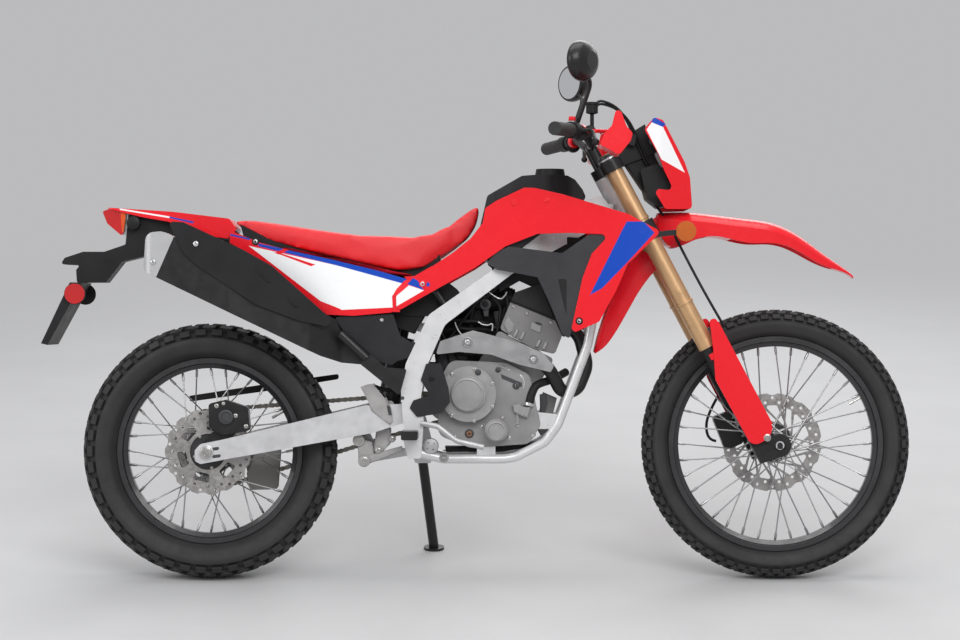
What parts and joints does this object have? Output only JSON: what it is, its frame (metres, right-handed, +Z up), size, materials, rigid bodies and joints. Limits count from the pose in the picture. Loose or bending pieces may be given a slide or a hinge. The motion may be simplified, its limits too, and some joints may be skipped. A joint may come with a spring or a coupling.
{
  "type": "dual sport motorcycle",
  "caption": "Dual sport motorcycle leaning on its side stand, with turning wheels, a steered fork and a folding stand.",
  "frame": {"origin": "bottom centre of the parked machine's box, on the floor", "axes": "+X forward, +Y to the machine's left, +Z up; the machine leans 11 degrees to +Y"},
  "size_m": [2.2244, 0.7995, 1.3911],
  "materials": {
    "black_plastic": "satin",
    "engine_grey": "cast",
    "cast_aluminium": "cast",
    "chain_steel": "oiled",
    "black_steel": "satin",
    "red_plastic": "gloss",
    "gold_fork": "satin",
    "frame_silver": "satin",
    "disc_steel": "brushed",
    "dark_hub": "satin",
    "amber_lens": "gloss",
    "black_rim": "satin",
    "tyre_rubber": "matt",
    "grip_rubber": "matt",
    "clear_lens": "clear",
    "red_lens": "gloss",
    "seat_vinyl": "grained",
    "white_plastic": "gloss"
  },
  "bodies": {
    "frame": {"chain_guards": "black_plastic", "crankcase": "engine_grey", "cylinder_head": "cast_aluminium", "drive_chain": "chain_steel", "engine_covers": "cast_aluminium", "exhaust_header": "black_steel", "foot_controls": "black_steel", "foot_pegs": "black_steel", "frame_cradle": "frame_silver", "frame_guards": "black_plastic", "front_sprocket": "disc_steel", "fuel_cap": "black_plastic", "fuel_tank": "black_plastic", "header_shield": "engine_grey", "intake": "black_plastic", "main_frame": "frame_silver", "plate_holder": "black_plastic", "radiator": "black_steel", "radiator_covers": "black_plastic", "rear_axle": "cast_aluminium", "rear_caliper": "black_steel", "rear_fender": "red_plastic", "rear_reflectors": "red_lens", "rear_subframe": "black_steel", "seat": "seat_vinyl", "shock_absorber": "black_steel", "side_covers": "white_plastic", "silencer": "black_steel", "silencer_guard": "black_plastic", "suspension_links": "cast_aluminium", "swingarm": "frame_silver", "tail_light": "red_lens", "tank_shrouds": "red_plastic"},
    "fork": {"fork_clamps": "cast_aluminium", "fork_guards": "red_plastic", "fork_legs": "cast_aluminium", "fork_tubes": "gold_fork", "front_axle": "cast_aluminium", "front_caliper": "black_steel", "front_fender": "red_plastic", "front_reflectors": "amber_lens", "grips": "grip_rubber", "hand_controls": "black_plastic", "hand_guards": "red_plastic", "handlebar": "black_steel", "headlight": "clear_lens", "headlight_cowl": "red_plastic", "headlight_housing": "black_plastic", "meter": "black_plastic", "mirrors": "black_steel"},
    "front_wheel": {"front_disc": "disc_steel", "front_hub": "dark_hub", "front_rim": "black_rim", "front_tyre": "tyre_rubber"},
    "rear_wheel": {"rear_disc": "disc_steel", "rear_hub": "dark_hub", "rear_rim": "black_rim", "rear_sprocket": "disc_steel", "rear_tyre": "tyre_rubber"},
    "side_stand": {"side_stand": "black_steel"}
  },
  "joints": [
    {"name": "steering", "type": "hinge", "parent": "frame", "child": "fork", "pos_m": [0.70975, -0.15676, 0.31126], "axis": [-0.4679, 0.1686, 0.8675], "range_deg": [-45, 45]},
    {"name": "front_wheel_spin", "type": "hinge", "parent": "fork", "child": "front_wheel", "pos_m": [0.7672, -0.15095, 0.34111], "axis": [0, 0.9816, -0.1908], "continuous": true},
    {"name": "rear_wheel_spin", "type": "hinge", "parent": "frame", "child": "rear_wheel", "pos_m": [-0.6878, -0.15439, 0.32344], "axis": [0, 0.9816, -0.1908], "continuous": true},
    {"name": "side_stand_fold", "type": "hinge", "parent": "frame", "child": "side_stand", "pos_m": [-0.14814, -0.00297, 0.28484], "axis": [0.1173, 0.969, 0.2175], "range_deg": [0, 100]}
  ]
}
